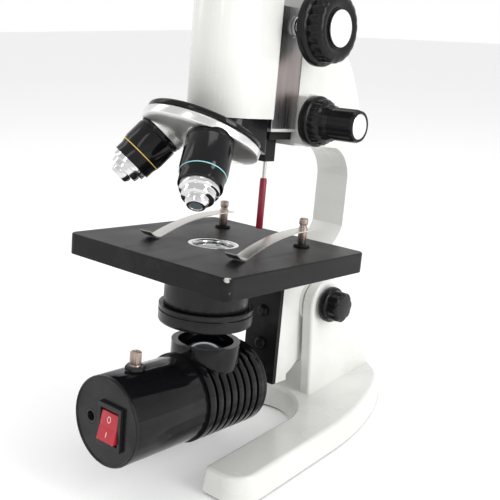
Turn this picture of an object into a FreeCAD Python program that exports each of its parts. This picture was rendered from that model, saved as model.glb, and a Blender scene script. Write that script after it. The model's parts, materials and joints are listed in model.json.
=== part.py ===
import FreeCAD, Part
import Sketcher
import os
from math import atan2, pi, sqrt
from types import SimpleNamespace

# A student's inclinable microscope.  Lengths are in millimetres, angles in degrees.
# Row frame: +Z up, origin on the table straight under the inclination pivot, +Y towards the
# back of the arm and +X towards the right-hand knobs.
# Limb frame: origin at the centre of the stage's top face, +Z up the tube.  The limb leans
# back about the pivot by "lean".

DIMENSIONS = {
    "overall": {
        "lean": 6.0, "pivot_height": 71.2, "pivot_back": 78.0, "pivot_drop": 41.5,
        "axis_y": -5.0, "fit_gap": 0.05, "slide_gap": 0.3,
    },
    "base": {
        "felt_thickness": 1.2, "felt_inset": 1.0, "base_height": 14.5, "base_draft": 12.0,
        "base_rounding": 2.5, "base_half_width": 58.0, "leg_front": 119.0, "side_start": 40.0,
        "heel_share": 0.733, "heel_fill": 0.51, "heel_back": 62.0,
        "opening_half": 27.5, "opening_centre": 48.6, "tip_radius": 15.0,
        "tip_inner_radius": 5.0, "ear_gap_half": 13.5, "ear_thickness": 8.0,
        "ear_radius": 14.0, "ear_rounding": 2.0, "gusset_back": 54.0, "gusset_bulge": 120.0,
        "web_front": 42.0, "web_height": 22.0, "bolt_radius": 5.0, "washer_radius": 8.5,
        "washer_thickness": 1.2, "knob_radius": 11.0, "knob_length": 12.0,
    },
    "arm": {
        "arm_half": 11.5, "lug_half": 13.2, "lug_radius": 14.0, "head_half": 15.0,
        "limb_front": 47.0, "limb_bottom": 89.4, "head_front": 38.6, "head_bottom": 54.0,
        "head_top": 136.0, "arm_back": 118.0, "arm_inner": 101.5,
        "gearbox_radius": 14.5, "gearbox_half": 20.4, "bracket_thickness": 3.0,
        "bracket_half": 12.0, "screw_radius": 2.0, "screw_head_radius": 3.6,
        "screw_head_height": 2.2,
    },
    "stage": {
        "stage_side": 115.0, "stage_thickness": 11.2, "stage_corner": 5.0, "stage_edge": 0.8,
        "stage_hole_radius": 13.9, "stage_top_wall": 4.2, "stage_side_wall": 5.0,
        "stage_boss": 24.0, "ring_radius": 11.0, "clip_x": 29.5, "clip_y": 35.0,
        "clip_post_radius": 2.5, "clip_post_height": 16.0, "clip_pin_radius": 1.8,
        "clip_height": 9.2, "clip_thickness": 0.6, "clip_width": 8.0, "clip_reach": 66.0,
        "foot_radius": 4.6, "foot_height": 1.6, "condenser_y": -7.0, "holder_radius": 23.5,
        "holder_bottom": 33.2, "spigot_radius": 15.0, "spigot_bore": 11.5,
        "iris_radius": 26.0, "iris_height": 10.0, "lever_length": 39.0,
        "lever_radius": 1.4, "lever_angle": 150.4,
    },
    "lamp": {
        "lamp_z": -84.0, "lamp_front": -75.0, "lamp_radius": 23.6, "lamp_wall": 2.0,
        "end_thickness": 2.0, "sleeve_front": -24.3, "sleeve_back": 20.0,
        "sleeve_radius": 24.8, "rib_count": 8.0, "rib_groove": 2.0, "rib_depth": 2.0,
        "rear_cap": 3.0, "cup_radius": 19.1, "cup_rise": 29.5, "cup_bore": 15.5,
        "pin_radius": 5.0, "dimmer_y": -56.8, "pot_radius": 8.0, "pot_height": 7.0,
        "shaft_radius": 3.0, "shaft_rise": 9.8, "nut_radius": 5.4, "nut_height": 2.2,
        "switch_x": 4.5, "switch_z": -84.6, "switch_width": 17.0, "switch_height": 22.5,
        "rocker_width": 12.5, "rocker_height": 16.5, "switch_depth": 15.0,
        "bezel_thickness": 1.4, "jack_x": -11.6, "jack_z": -84.7, "jack_radius": 4.0,
        "jack_bore": 2.6, "jack_depth": 12.0, "cell_radius": 9.0, "cell_length": 60.0,
        "led_lens_radius": 12.0,
    },
    "tube": {
        "body_radius": 19.5, "body_back": 14.0, "body_bottom": 68.5,
        "mount_inset": 2.0, "body_top": 150.0, "collar_radius": 16.5,
        "collar_height": 6.0, "light_radius": 8.5, "draw_radius": 12.5, "draw_bottom": 128.0,
        "draw_top": 208.0, "draw_wall": 0.9, "eyepiece_head": 14.5, "eyepiece_rise": 24.0,
        "eyepiece_sleeve": 30.0, "eyepiece_wall": 1.2,
    },
    "focus": {
        "guide_front": 17.0, "guide_back": 37.6, "guide_half": 15.0, "guide_bottom": 61.5,
        "guide_top": 127.0, "slide_half": 7.0, "slide_back": 22.0, "slide_bottom": 70.0,
        "slide_top": 140.0, "rack_half": 3.0, "rack_bottom": 84.0, "rack_top": 130.0,
        "gear_module": 1.0, "pinion_teeth": 8.0, "tooth_share": 0.7, "coarse_y": 31.5,
        "coarse_z": 117.3, "coarse_shaft_radius": 2.5, "coarse_collar_radius": 4.8,
        "coarse_in": 28.7, "coarse_out": 43.0, "coarse_back_radius": 20.0,
        "coarse_front_radius": 18.0, "coarse_cap_radius": 9.4, "coarse_cap_height": 2.0,
        "tongue_half": 6.0, "tongue_back": 50.0, "tongue_bottom": 76.5, "tongue_top": 124.0,
        "fine_y": 45.0, "fine_z": 68.4, "fine_shaft_radius": 2.5, "fine_cam_radius": 6.0,
        "fine_in": 21.0, "fine_out": 52.5, "fine_back_radius": 14.0, "fine_neck_radius": 12.6,
        "fine_front_radius": 8.9, "fine_cap_radius": 6.9, "fine_cap_height": 1.6,
        "foot_thickness": 4.3, "block_front": 27.0, "block_drop": 17.5, "rod_y": 33.0,
        "rod_radius": 1.0, "sleeve_rod_radius": 2.0, "sleeve_top": 34.0, "stop_gap": 5.0,
    },
    "nosepiece": {
        "turret_y": -21.8, "turret_z": 55.8, "turret_tilt": 24.6, "turret_radius": 31.6,
        "turret_rim": 4.9, "turret_dome": 5.0, "turret_gap": 0.3, "disc_radius": 30.4,
        "disc_thickness": 3.2, "port_circle": 18.6, "port_radius": 10.16,
        "port_boss": 12.4, "port_drop": 3.4, "pivot_screw": 2.5, "barrel_radius": 12.0,
        "barrel_end": 11.0, "high_length": 42.0, "high_barrel": 31.0, "low_length": 34.6,
        "low_barrel": 25.0,
    },
}


class Size:
    """A length or angle: its value, and the expression that gives it from the sheet."""

    def __init__(self, value, text):
        self.value = float(value)
        self.text = text

    def __add__(self, other):
        other = size(other)
        return Size(self.value + other.value, f"({self.text} + {other.text})")

    def __sub__(self, other):
        other = size(other)
        return Size(self.value - other.value, f"({self.text} - {other.text})")

    def __mul__(self, other):
        other = size(other)
        return Size(self.value * other.value, f"({self.text} * {other.text})")

    def __truediv__(self, other):
        other = size(other)
        return Size(self.value / other.value, f"({self.text} / {other.text})")

    def __neg__(self):
        return Size(-self.value, f"(0 - {self.text})")

    def __radd__(self, other):
        return size(other) + self

    def __rsub__(self, other):
        return size(other) - self

    def __rmul__(self, other):
        return size(other) * self


def size(number):
    """A plain number as a Size; a Size stays as it is."""
    if isinstance(number, Size):
        return number
    return Size(number, f"({number:.9g})")


def root(value):
    return Size(sqrt(value.value), f"sqrt({value.text})")


doc = FreeCAD.newDocument("Microscope")
sheet = doc.addObject("Spreadsheet::Sheet", "Dims")
row = 1
for group, entries in DIMENSIONS.items():
    sheet.set(f"A{row}", group)
    row += 1
    for name, value in entries.items():
        sheet.set(f"A{row}", name)
        sheet.set(f"B{row}", str(value))
        sheet.setAlias(f"B{row}", name)
        row += 1
doc.recompute()
d = SimpleNamespace(**{name: Size(value, f"Dims.{name}")
                       for entries in DIMENSIONS.values() for name, value in entries.items()})


# Places are lists of placements, which multiply from left to right.

def shift(x=0, y=0, z=0):
    x, y, z = size(x), size(y), size(z)
    return [f"placement(vector({x.text}; {y.text}; {z.text}); rotation(vector(0; 0; 1); 0))"]


def turn(x, y, z, angle):
    """A turn by an angle about the direction (x, y, z)."""
    return [f"placement(vector(0; 0; 0); rotation(vector({x}; {y}; {z}); {size(angle).text}))"]


def tilt(angle):
    return turn(1, 0, 0, angle)


LIMB = shift(0, 0, d.pivot_height) + tilt(-d.lean) + shift(0, -d.pivot_back, d.pivot_drop)
TURRET = shift(0, d.turret_y, d.turret_z) + tilt(-d.turret_tilt)
ALONG_X = turn(0, 1, 0, 90)      # a piece's own Z lies along +X
ALONG_MINUS_X = turn(0, 1, 0, -90)
ALONG_MINUS_Y = tilt(90)         # own Z towards the front, own Y up
SIDE_ON = turn(1, 1, 1, 120)     # own X and Y lie along Y and Z, own Z along +X

pieces = []


def seat(thing, place):
    thing.setExpression("Placement", " * ".join(place))
    return thing


def bind(thing, **sizes):
    for name, value in sizes.items():
        thing.setExpression(name, size(value).text)
    return thing


def node(label, thing, place=None):
    """Names a finished sub-part, and places it if it has no place yet."""
    thing.Label = label
    if place:
        seat(thing, place)
    pieces.append(thing)
    return thing


def cylinder(radius, length, place=()):
    made = bind(doc.addObject("Part::Cylinder", "Cylinder"), Radius=radius, Height=length)
    return seat(made, place) if place else made


def block(x, y, z):
    """A box between two values of each of x, y and z."""
    made = doc.addObject("Part::Box", "Block")
    spans = [size(high) - size(low) for low, high in (x, y, z)]
    bind(made, Length=spans[0], Width=spans[1], Height=spans[2])
    return seat(made, shift(x[0], y[0], z[0]))


def fuse(*shapes):
    made = doc.addObject("Part::MultiFuse", "Joined")
    made.Shapes = list(shapes)
    made.Refine = True
    return made


def group(*shapes):
    """Separate solids that share one node."""
    made = doc.addObject("Part::Compound", "Group")
    made.Links = list(shapes)
    return made


def cut(base, *tools):
    made = doc.addObject("Part::Cut", "Hollowed")
    made.Base = base
    made.Tool = tools[0] if len(tools) == 1 else fuse(*tools)
    return made


def common(one, other):
    made = doc.addObject("Part::Common", "Trimmed")
    made.Base = one
    made.Tool = other
    return made


def arc(start, stop, radius):
    """The shorter arc between two points; it turns left where the radius is positive."""
    chord = stop - start
    reach = sqrt(max(radius ** 2 - (chord.Length / 2) ** 2, 0.0))
    left = FreeCAD.Vector(-chord.y, chord.x, 0).normalize()
    centre = (start + stop) * 0.5 + left * (reach if radius > 0 else -reach)
    angles = [atan2((end - centre).y, (end - centre).x) for end in (start, stop)]
    if radius < 0:
        angles.reverse()
    if angles[1] < angles[0]:
        angles[1] += 2 * pi
    circle = Part.Circle(centre, FreeCAD.Vector(0, 0, 1), abs(radius))
    return Part.ArcOfCircle(circle, *angles)


def hold(sketch, kind, value, *where):
    """Adds a constraint that keeps the value of a size."""
    value = size(value)
    index = sketch.addConstraint(Sketcher.Constraint(kind, *where, value.value))
    sketch.setExpression(f"Constraints[{index}]", value.text)


def draw_loop(sketch, points):
    """A closed loop of points (x, y) after a straight side, or (x, y, r) after an arc."""
    first = sketch.GeometryCount
    ends = []
    for before, point in zip([points[-1]] + list(points[:-1]), points):
        start, stop = [FreeCAD.Vector(size(p[0]).value, size(p[1]).value, 0)
                       for p in (before, point)]
        if len(point) == 2:
            sketch.addGeometry(Part.LineSegment(start, stop), False)
            ends.append((1, 2))
        else:
            sketch.addGeometry(arc(start, stop, size(point[2]).value), False)
            ends.append((1, 2) if size(point[2]).value > 0 else (2, 1))
    for index, point in enumerate(points):
        after = (index + 1) % len(points)
        edge, end = first + index, ends[index][1]
        joint = Sketcher.Constraint("Coincident", edge, end, first + after, ends[after][0])
        sketch.addConstraint(joint)
        hold(sketch, "DistanceX", point[0], -1, 1, edge, end)
        hold(sketch, "DistanceY", point[1], -1, 1, edge, end)
        if len(point) == 3:
            radius = size(point[2])
            hold(sketch, "Radius", radius if radius.value > 0 else -radius, edge)


def outline(body, role, loops):
    sketch = body.newObject("Sketcher::SketchObject", "Outline")
    plane = [face for face in body.Origin.OriginFeatures if face.Role == role][0]
    sketch.AttachmentSupport = [(plane, "")]
    sketch.MapMode = "FlatFace"
    for points in loops:
        draw_loop(sketch, points)
    return sketch


def plate(thickness, place, *loops, draft=None):
    """A body of even thickness along its own +Z; the loops after the first are holes."""
    body = doc.addObject("PartDesign::Body", "Plate")
    pad = body.newObject("PartDesign::Pad", "Pad")
    pad.Profile = outline(body, "XY_Plane", loops)
    bind(pad, Length=thickness)
    if draft is not None:
        bind(pad, TaperAngle=-draft)
    return seat(body, place)


def turned(place, *points):
    """A body turned about its own Z; a point is (radius, height)."""
    body = doc.addObject("PartDesign::Body", "Turned")
    sketch = outline(body, "XZ_Plane", [points])
    lathe = body.newObject("PartDesign::Revolution", "Revolution")
    lathe.Profile = sketch
    lathe.ReferenceAxis = (sketch, ["V_Axis"])
    lathe.Angle = 360
    return seat(body, place)


def crown(radius, rise):
    """The radius of a cap's round face, which is centred on the cap's own axis."""
    return (radius * radius / rise + rise) / 2


def round_edges(body, radius, chosen):
    """Rounds the body's edges that the function chosen picks."""
    doc.recompute()
    base = body.Tip
    names = [f"Edge{number}" for number, edge in enumerate(base.Shape.Edges, 1) if chosen(edge)]
    rounding = body.newObject("PartDesign::Fillet", "Rounding")
    rounding.Base = (base, names)
    return bind(rounding, Radius=radius)


def both_sides(half):
    """A loop that is mirrored in the mid-plane; half runs from one mid-plane point to another."""
    back = []
    for before, point in zip(reversed(half[:-1]), reversed(half[1:])):
        back.append((-size(before[0]), before[1]) + tuple(point[2:]))
    return list(half[1:]) + back


def mid_height(edge):
    box = edge.BoundBox
    return (box.ZMin + box.ZMax) / 2


def flat_at(height):
    """Picks the edges that lie flat at a height of the body's own frame."""
    return lambda edge: edge.BoundBox.ZLength < 0.01 and abs(mid_height(edge) - height.value) < 0.01


# ---- Base: a horseshoe casting on felt, with two ears that carry the inclination pivot ----

def horseshoe(inset):
    side = d.base_half_width - inset
    inner = d.opening_half + inset
    front = -d.leg_front + inset
    tip = d.tip_radius - inset
    inner_tip = d.tip_inner_radius - inset
    heel = d.base_half_width * d.heel_share - inset
    spread, depth = side - heel, d.heel_back - inset + d.side_start
    # The heel's arc starts level and the side's arc ends along the leg.  A fill of 0.5 would
    # give them one tangent; the draft needs the slight hollow that a little more leaves.
    rise = (depth + side - root((depth + side) * (depth + side)
                                - 4 * heel * (depth - spread))) * d.heel_fill
    run = depth - rise
    heel_radius = (heel * heel + rise * rise) / (2 * rise)
    side_radius = (spread * spread + run * run) / (2 * spread)
    return both_sides([
        (0, d.heel_back - inset),
        (heel, d.heel_back - inset - rise, -heel_radius),
        (side, -d.side_start, -side_radius),
        (side, front + tip),
        (side - tip, front, -tip),
        (inner + inner_tip, front),
        (inner, front + inner_tip, -inner_tip),
        (inner, -d.opening_centre),
        (0, -d.opening_centre + inner, inner),
    ])


def base_casting():
    foot = plate(d.base_height - d.felt_thickness, shift(0, 0, d.felt_thickness),
                 horseshoe(0), draft=d.base_draft)
    round_edges(foot, d.base_rounding, flat_at(d.base_height - d.felt_thickness))
    buried = d.felt_thickness + 2
    ear_outline = [
        (-d.ear_radius, buried),
        (-d.ear_radius, d.pivot_height),
        (0, d.pivot_height + d.ear_radius, -d.ear_radius),
        (d.ear_radius, d.pivot_height, -d.ear_radius),
        (d.ear_radius, d.pivot_height - d.ear_radius),
        (d.gusset_back, d.base_height, -d.gusset_bulge),
        (d.gusset_back, buried),
    ]
    ears = []
    for start in (d.ear_gap_half, -d.ear_gap_half - d.ear_thickness):
        ear = plate(d.ear_thickness, shift(start) + SIDE_ON, ear_outline)
        sides = (0, d.ear_thickness.value)
        round_edges(ear, d.ear_rounding,
                    lambda edge: any(flat_at(size(level))(edge) for level in sides)
                    and edge.BoundBox.YMax > d.base_height.value + 1)
        ears.append(ear)
    outside = d.ear_gap_half + 1
    web = block((-outside, outside), (d.web_front, d.gusset_back - 2), (buried, d.web_height))
    bolt_hole = cylinder(d.bolt_radius, 4 * d.ear_gap_half,
                         shift(-2 * d.ear_gap_half, 0, d.pivot_height) + ALONG_X)
    return cut(fuse(foot, web, *ears), bolt_hole)


node("base_casting", base_casting(), shift())
node("base_felt", plate(d.felt_thickness, shift(), horseshoe(d.felt_inset)))

ear_outside = d.ear_gap_half + d.ear_thickness
knob_start = ear_outside + d.washer_thickness + d.slide_gap
bolt_half = knob_start + d.knob_length - 3
PIVOT = shift(0, 0, d.pivot_height)
bolt = cylinder(d.bolt_radius, 2 * bolt_half, PIVOT + shift(-bolt_half) + ALONG_X)
node("pivot_bolt", bolt)


def washer(start):
    place = PIVOT + shift(start) + ALONG_X
    return cut(cylinder(d.washer_radius, d.washer_thickness, place),
               cylinder(d.bolt_radius, d.washer_thickness, place))


node("pivot_washers", group(washer(ear_outside), washer(-ear_outside - d.washer_thickness)))


def incline_knob(place):
    bore = d.bolt_radius + d.fit_gap
    bore_depth = d.knob_length - 3 + d.fit_gap * 4
    grip = turned(place,
                  (bore, 0), (d.knob_radius, 0), (d.knob_radius, 4.5),
                  (d.knob_radius - 1.5, 5.5), (d.knob_radius - 1.5, d.knob_length - 1.5),
                  (d.knob_radius - 3, d.knob_length, 1.5), (0, d.knob_length),
                  (0, bore_depth), (bore, bore_depth))
    return grip


node("incline_knob_right", incline_knob(PIVOT + shift(knob_start) + ALONG_X))
node("incline_knob_left", incline_knob(PIVOT + shift(-knob_start) + ALONG_MINUS_X))

# ---- Limb: the C-shaped arm casting, the stage and what hangs under it ----


def arm_casting():
    pivot_y, pivot_z = d.pivot_back, -d.pivot_drop
    mid_back = (d.head_front + d.arm_back) / 2
    bow = plate(2 * d.arm_half, shift(-d.arm_half) + SIDE_ON, [
        (d.limb_front, -d.limb_bottom),
        (pivot_y - 4, pivot_z - 29.5, 40),
        (pivot_y + 12, pivot_z - 7, 30),
        (d.arm_back - 4, pivot_z + 34.5),
        (d.arm_back, pivot_z + 60.5, 90),
        (d.arm_back - 5, pivot_z + 96.5, 150),
        (d.arm_back - 24, pivot_z + 139.5, 130),
        (mid_back - 26, d.head_top, 150),
        (d.head_front, d.head_top),
        (d.head_front, d.head_bottom),
        (d.arm_inner - 16.5, d.head_bottom - 2),
        (d.arm_inner, d.head_bottom - 20, -22),
        (d.arm_inner, 3),
        (d.arm_inner - 13, -d.stage_thickness, -30),
        (d.limb_front, -d.stage_thickness),
    ])
    head_back = mid_back - 4
    head = plate(2 * d.head_half, shift(-d.head_half) + SIDE_ON, [
        (d.head_front, d.head_bottom),
        (head_back, d.head_bottom),
        (head_back, d.head_top - 24, 200),
        (head_back - 20, d.head_top + 1, 60),
        (d.head_front, d.head_top + 1),
    ])
    lug = cylinder(d.lug_radius, 2 * d.lug_half,
                   shift(-d.lug_half, pivot_y, pivot_z) + ALONG_X)
    lower = block((-d.bracket_half, d.bracket_half), (d.limb_front, d.limb_front + 10),
                  (-d.limb_bottom, -d.stage_thickness))
    gearbox = cylinder(d.gearbox_radius, 2 * d.gearbox_half,
                       shift(-d.gearbox_half, d.fine_y, d.fine_z) + ALONG_X)
    in_front = block((-30, 30), (0, d.head_front), (d.head_bottom - 20, d.head_top))
    bolt_hole = cylinder(d.bolt_radius + d.fit_gap, 4 * d.lug_half,
                         shift(-2 * d.lug_half, pivot_y, pivot_z) + ALONG_X)
    shaft_hole = cylinder(d.fine_shaft_radius + d.fit_gap, 4 * d.gearbox_half,
                          shift(-2 * d.gearbox_half, d.fine_y, d.fine_z) + ALONG_X)
    width = d.tongue_half + d.slide_gap
    chamber = block((-width, width), (d.head_front - 1, d.tongue_back + 2),
                    (d.fine_z - d.fine_cam_radius - 2, d.guide_top))
    screw_holes = [bracket_screw_hole(height) for height in BRACKET_SCREWS]
    pin_hole = cylinder(d.pin_radius + 1, 6, shift(0, d.limb_front + 5, d.lamp_z) + ALONG_MINUS_Y)
    return cut(fuse(bow, head, lug, lower, gearbox), in_front, bolt_hole, shaft_hole, chamber,
               pin_hole, *screw_holes)


BRACKET_SCREWS = (-24, -46, -66)
SCREW_DEPTH = 8


def bracket_screw_hole(height):
    start = d.limb_front + SCREW_DEPTH
    return cylinder(d.screw_radius, SCREW_DEPTH + 2 * d.bracket_thickness,
                    shift(0, start, height) + ALONG_MINUS_Y)


def bracket_screw(height):
    start = d.limb_front + SCREW_DEPTH
    face = d.bracket_thickness + SCREW_DEPTH
    return turned(shift(0, start, height) + ALONG_MINUS_Y,
                  (0, 0), (d.screw_radius, 0), (d.screw_radius, face),
                  (d.screw_head_radius, face), (d.screw_head_radius, face + 1),
                  (d.screw_head_radius - 1.6, face + d.screw_head_height, 3),
                  (0, face + d.screw_head_height))


def stage_bracket():
    front = d.limb_front - d.bracket_thickness
    under_stage = -d.stage_top_wall
    across = (-d.bracket_half, d.bracket_half)
    upright = block(across, (front, d.limb_front), (-d.limb_bottom, under_stage))
    shelf = block(across, (front - 12, front), (under_stage - 3, under_stage))
    pin_hole = cylinder(d.pin_radius + d.fit_gap, 3 * d.bracket_thickness,
                        shift(0, d.limb_front + d.bracket_thickness, d.lamp_z) + ALONG_MINUS_Y)
    return cut(fuse(upright, shelf), pin_hole, *[bracket_screw_hole(z) for z in BRACKET_SCREWS])


node("arm_casting", arm_casting(), LIMB)
node("stage_bracket", stage_bracket(), LIMB)
node("bracket_screws", group(*[bracket_screw(height) for height in BRACKET_SCREWS]), LIMB)

half_side = d.stage_side / 2


def rounded_square(half, corner):
    return [(half, half - corner), (half - corner, half, corner), (-(half - corner), half),
            (-half, half - corner, corner), (-half, -(half - corner)),
            (-(half - corner), -half, corner), (half - corner, -half),
            (half, -(half - corner), corner)]


def stage_plate():
    slab = plate(d.stage_thickness, shift(0, 0, -d.stage_thickness),
                 rounded_square(half_side, d.stage_corner))
    round_edges(slab, d.stage_edge, flat_at(d.stage_thickness))
    inside = half_side - d.stage_side_wall
    recess = cut(block((-inside, inside), (-inside, inside),
                       (-d.stage_thickness - 1, -d.stage_top_wall)),
                 cylinder(d.stage_boss, 3 * d.stage_thickness,
                          shift(0, d.condenser_y, -2 * d.stage_thickness)))
    hole = cylinder(d.stage_hole_radius, 3 * d.stage_thickness,
                    shift(0, d.axis_y, -2 * d.stage_thickness))
    notch_half = d.bracket_half + d.slide_gap
    notch = block((-notch_half, notch_half), (d.limb_front - 5, half_side + 1),
                  (-d.stage_thickness - 1, -d.stage_top_wall))
    pin_holes = [cylinder(d.clip_pin_radius + d.fit_gap, 4 * d.stage_top_wall,
                          shift(side * d.clip_x, d.clip_y, -2 * d.stage_top_wall))
                 for side in (-1, 1)]
    return cut(slab, recess, hole, notch, *pin_holes)


node("stage_plate", stage_plate(), LIMB)
ring_seat = 3.0
node("stage_ring", turned(LIMB + shift(0, d.axis_y), (d.ring_radius, -ring_seat),
                          (d.stage_hole_radius, -ring_seat), (d.stage_hole_radius, -0.2),
                          (d.ring_radius + 0.8, -0.2), (d.ring_radius, -1)))


def condenser_holder():
    top, bottom = -d.stage_thickness, -d.holder_bottom
    end = bottom - d.iris_height - 2 * d.slide_gap
    wall = d.spigot_radius - d.fit_gap
    return turned(LIMB + shift(0, d.condenser_y),
                  (d.spigot_bore, top), (d.stage_boss - 2, top), (d.holder_radius, top - 1.5),
                  (d.holder_radius, bottom), (wall, bottom), (wall, end),
                  (d.spigot_bore, end))


node("condenser_holder", condenser_holder())
lens_edge = 2.4
node("condenser_lens", turned(LIMB + shift(0, d.axis_y), (0, -ring_seat - lens_edge),
                              (d.stage_hole_radius - 1, -ring_seat - lens_edge),
                              (d.stage_hole_radius - 1, -ring_seat), (d.ring_radius, -ring_seat),
                              (0, -0.9, crown(d.ring_radius, ring_seat - 0.9))))
IRIS = LIMB + shift(0, d.condenser_y, -d.holder_bottom - d.slide_gap - d.iris_height)
node("iris_disc", turned(
    IRIS,
    (d.spigot_radius + d.fit_gap, 0), (d.iris_radius - 2, 0), (d.iris_radius, 2, 2),
    (d.iris_radius, d.iris_height - 3.2), (d.iris_radius - 0.8, d.iris_height - 3.2),
    (d.iris_radius - 0.8, d.iris_height - 2.4), (d.iris_radius, d.iris_height - 2.4),
    (d.iris_radius, d.iris_height), (d.spigot_radius + d.fit_gap, d.iris_height)))
LEVER = IRIS + shift(0, 0, d.iris_height - 2.8) + turn(0, 0, 1, d.lever_angle)
lever_tip = 9.0
node("iris_lever", turned(
    LEVER + shift(d.iris_radius - 0.8) + ALONG_X,
    (0, 0), (0.4, 0), (0.4, 0.8), (d.lever_radius, 0.8),
    (d.lever_radius, d.lever_length - d.iris_radius - lever_tip),
    (d.lever_radius + 0.9, d.lever_length - d.iris_radius - lever_tip + 1),
    (d.lever_radius + 0.9, d.lever_length - d.iris_radius),
    (0, d.lever_length - d.iris_radius + 0.8)))

# ---- Stage clips: a post that turns in the stage, and an arched spring riveted to it ----


def clip_post(place):
    pin, post = d.clip_pin_radius, d.clip_post_radius
    collar = d.foot_height + d.slide_gap
    return turned(place, (0, -d.stage_top_wall - 1), (pin, -d.stage_top_wall - 1),
                  (pin, collar), (post, collar), (post, d.clip_height + d.clip_thickness + 1),
                  (post - 0.5, d.clip_height + d.clip_thickness + 1.5),
                  (post - 0.5, d.clip_height + d.clip_thickness + 2.5),
                  (post, d.clip_height + d.clip_thickness + 3), (post, d.clip_post_height - 0.6),
                  (post - 0.6, d.clip_post_height), (0, d.clip_post_height))


def clip_spring(place):
    """A strip along own +X that arches down to the stage and turns up at its tip."""
    skin = d.clip_thickness
    high, low = d.clip_height + skin, d.slide_gap + skin
    knee, tip = d.clip_reach - 8, d.clip_reach
    strip = plate(d.clip_width, shift(0, d.clip_width / 2) + tilt(90), [
        (-5, high), (8, high), (knee, low, -150), (tip, low + 3.6, 12),
        (tip, low + 3.6 - skin), (knee, low - skin, -12), (8, high - skin, 150),
        (-5, high - skin)])
    return cut(strip, cylinder(d.clip_post_radius, 3 * d.clip_height))


clip_turns = {"left": -87.0, "right": -85.0}
clip_sides = {"left": -1, "right": 1}
for side, angle in clip_turns.items():
    CLIP = LIMB + shift(clip_sides[side] * d.clip_x, d.clip_y)
    node(f"clip_post_{side}", clip_post(CLIP))
    node(f"clip_spring_{side}", clip_spring(CLIP), CLIP + turn(0, 0, 1, angle))


def clip_foot(side):
    place = shift(side * d.clip_x, d.clip_y)
    return turned(place, (d.clip_pin_radius + d.fit_gap, 0), (d.foot_radius, 0),
                  (d.foot_radius, 0.9), (d.foot_radius - 0.7, d.foot_height),
                  (d.clip_pin_radius + d.fit_gap, d.foot_height))


node("clip_feet", group(clip_foot(-1), clip_foot(1)), LIMB)

# ---- Lamp: a battery torch that lies along Y and swings on a pin in the stage bracket ----

LAMP = LIMB + shift(0, 0, d.lamp_z)
TO_BACK = tilt(-90)              # own Z towards the back, own Y down


def tube_along_y(outer, inner, front, back):
    place = shift(0, front) + TO_BACK
    return cut(cylinder(outer, back - front, place),
               cylinder(inner, back - front, place)) if inner else cylinder(
                   outer, back - front, place)


bore = d.lamp_radius - d.lamp_wall
barrel_front = d.lamp_front + d.end_thickness
dimmer_hole = cylinder(d.shaft_radius + d.slide_gap, d.lamp_radius + 2, shift(0, d.dimmer_y))
node("lamp_tube", cut(tube_along_y(d.lamp_radius, bore, barrel_front, d.sleeve_front),
                      dimmer_hole), LAMP)

switch_place = shift(d.switch_x, d.lamp_front, d.switch_z - d.lamp_z)
jack_place = shift(d.jack_x, d.lamp_front, d.jack_z - d.lamp_z)


def slab_along_y(width, height, front, back, place=()):
    """A block centred in x and z, between two places in y."""
    made = block((-width / 2, width / 2), (front, back), (-height / 2, height / 2))
    return seat(made, list(place) + shift(-width / 2, front, -height / 2)) if place else made


def end_plate():
    body_width, body_height = d.switch_width - 3, d.switch_height - 3
    window = slab_along_y(body_width + 0.1, body_height + 0.1, -1, d.end_thickness + 1,
                          switch_place)
    jack_hole = cylinder(d.jack_radius, 3 * d.end_thickness,
                         jack_place + shift(0, -d.end_thickness) + TO_BACK)
    disc = turned(shift(0, d.lamp_front) + TO_BACK,
                  (0, 0.6), (d.lamp_radius - 1.6, 0.6), (d.lamp_radius - 1.2, 0),
                  (d.lamp_radius - 0.6, 0), (d.lamp_radius, 0.6),
                  (d.lamp_radius, d.end_thickness), (0, d.end_thickness))
    return cut(disc, window, jack_hole)


node("lamp_end_plate", end_plate(), LAMP)


def heat_sink():
    outer, root = d.sleeve_radius, d.sleeve_radius - d.rib_depth
    length = d.sleeve_back - d.sleeve_front
    pitch = length / d.rib_count
    points = [(bore, 0), (outer, 0)]
    for rib in range(1, int(d.rib_count.value)):
        groove = pitch * rib
        points += [(outer, groove - d.rib_groove / 2), (root, groove - d.rib_groove / 2),
                   (root, groove + d.rib_groove / 2), (outer, groove + d.rib_groove / 2)]
    points += [(outer, length), (bore, length)]
    ribbed = turned(shift(0, d.sleeve_front) + TO_BACK, *points)
    return cut(ribbed, cylinder(d.cup_radius, 2 * d.sleeve_radius, shift(0, d.axis_y)))


node("lamp_heat_sink", heat_sink(), LAMP)
node("lamp_rear_cap", turned(
    LAMP + shift(0, d.sleeve_back) + TO_BACK,
    (d.pin_radius, 0), (d.sleeve_radius, 0), (d.sleeve_radius, d.rear_cap - 1),
    (d.sleeve_radius - 1, d.rear_cap, 1), (d.pin_radius, d.rear_cap)))
pin_end = d.limb_front - d.fit_gap
node("lamp_pin", turned(
    LAMP + shift(0, d.sleeve_back - 2) + TO_BACK,
    (0, 0), (d.pin_radius + 2, 0), (d.pin_radius + 2, 2), (d.pin_radius, 2),
    (d.pin_radius, pin_end - d.sleeve_back + 2), (0, pin_end - d.sleeve_back + 2)))

board_top = d.cup_rise - 8.5


def lamp_cup():
    rim = turned(shift(0, d.axis_y),
                 (d.cup_bore, board_top), (d.cup_radius, board_top - 3),
                 (d.cup_radius, d.cup_rise), (d.cup_bore + 1.5, d.cup_rise),
                 (d.cup_bore, d.cup_rise - 2))
    floor = cut(cylinder(d.cup_radius, d.cup_rise, shift(0, d.axis_y)),
                cylinder(d.cup_bore, d.cup_rise + 2, shift(0, d.axis_y, -1)),
                tube_along_y(bore, 0, d.lamp_front, d.sleeve_back))
    return fuse(rim, floor)


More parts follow.
